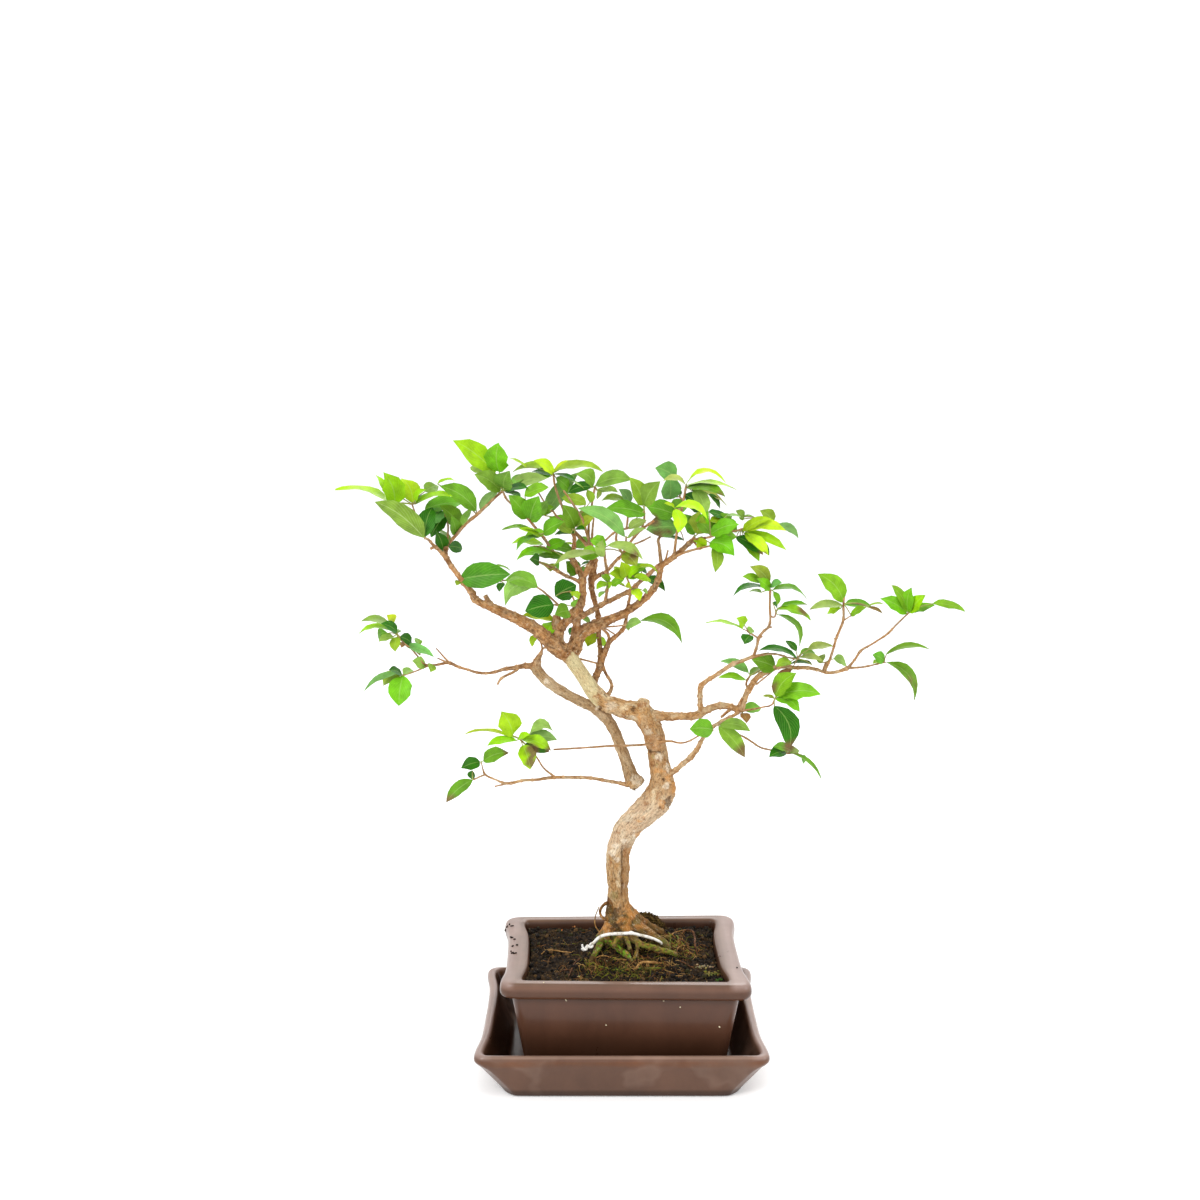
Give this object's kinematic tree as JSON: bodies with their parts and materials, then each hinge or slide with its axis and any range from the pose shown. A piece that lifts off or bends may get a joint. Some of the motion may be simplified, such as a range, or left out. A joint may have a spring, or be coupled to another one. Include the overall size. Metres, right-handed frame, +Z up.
{
  "type": "potted bonsai",
  "caption": "Small-leaved syzygium bonsai with an open, spreading crown, in a rectangular glazed pot that stands in a deep glazed saucer.",
  "frame": {"origin": "centre of the saucer's flat underside, on the surface it stands on", "axes": "+Z up along the trunk, +X to the right along the pot's long side, +Y to the back"},
  "size_m": [0.4994, 0.185, 0.5115],
  "materials": {
    "saucer_glaze": "satin",
    "pot_glaze": "satin",
    "screen": "matte",
    "soil": "matte",
    "moss": "matte",
    "tie": "matte",
    "bark": "matte",
    "leaf": "satin"
  },
  "bodies": {
    "root": {"saucer": "saucer_glaze", "pot": "pot_glaze", "screen_left": "screen", "screen_right": "screen", "soil": "soil", "moss": "moss", "tie": "tie", "wood": "bark", "shoot_left_tip": "leaf", "shoot_left_rosette": "leaf", "shoot_left_inner": "leaf", "shoot_left_fork": "leaf", "shoot_upper_left_node": "leaf", "shoot_upper_left_crown": "leaf", "shoot_crown_left_tip": "leaf", "shoot_crown_left_mid": "leaf", "shoot_crown_left_back": "leaf", "shoot_crown_left_low": "leaf", "shoot_crown_left_under": "leaf", "shoot_mid_left_pair": "leaf", "shoot_mid_left_oval": "leaf", "shoot_mid_left_round": "leaf", "shoot_mid_left_lime": "leaf", "shoot_left_spray": "leaf", "shoot_left_pendant": "leaf", "shoot_left_large": "leaf", "shoot_top_pair": "leaf", "shoot_crown_mint": "leaf", "shoot_crown_arch": "leaf", "shoot_crown_olive": "leaf", "shoot_crown_green": "leaf", "shoot_crown_front": "leaf", "shoot_crown_left_base": "leaf", "shoot_right_blue": "leaf", "shoot_right_top": "leaf", "shoot_right_yellow": "leaf", "shoot_right_mint": "leaf", "shoot_right_burl": "leaf", "shoot_right_crown": "leaf", "shoot_right_hang": "leaf", "shoot_far_right_crown": "leaf", "shoot_far_right_back": "leaf", "shoot_centre_lime": "leaf", "shoot_centre_lime_left": "leaf", "shoot_centre_dark": "leaf", "shoot_under_right": "leaf", "shoot_fork_oval": "leaf", "shoot_right_spire": "leaf", "shoot_right_spire_low": "leaf", "shoot_right_lime_small": "leaf", "shoot_right_round": "leaf", "shoot_right_roof": "leaf", "shoot_right_fan": "leaf", "shoot_far_right_tip": "leaf", "shoot_far_right_low": "leaf", "shoot_right_lobes": "leaf", "shoot_right_low": "leaf", "shoot_right_shears": "leaf", "shoot_low_rosette": "leaf", "shoot_low_pair": "leaf"}
  },
  "joints": []
}
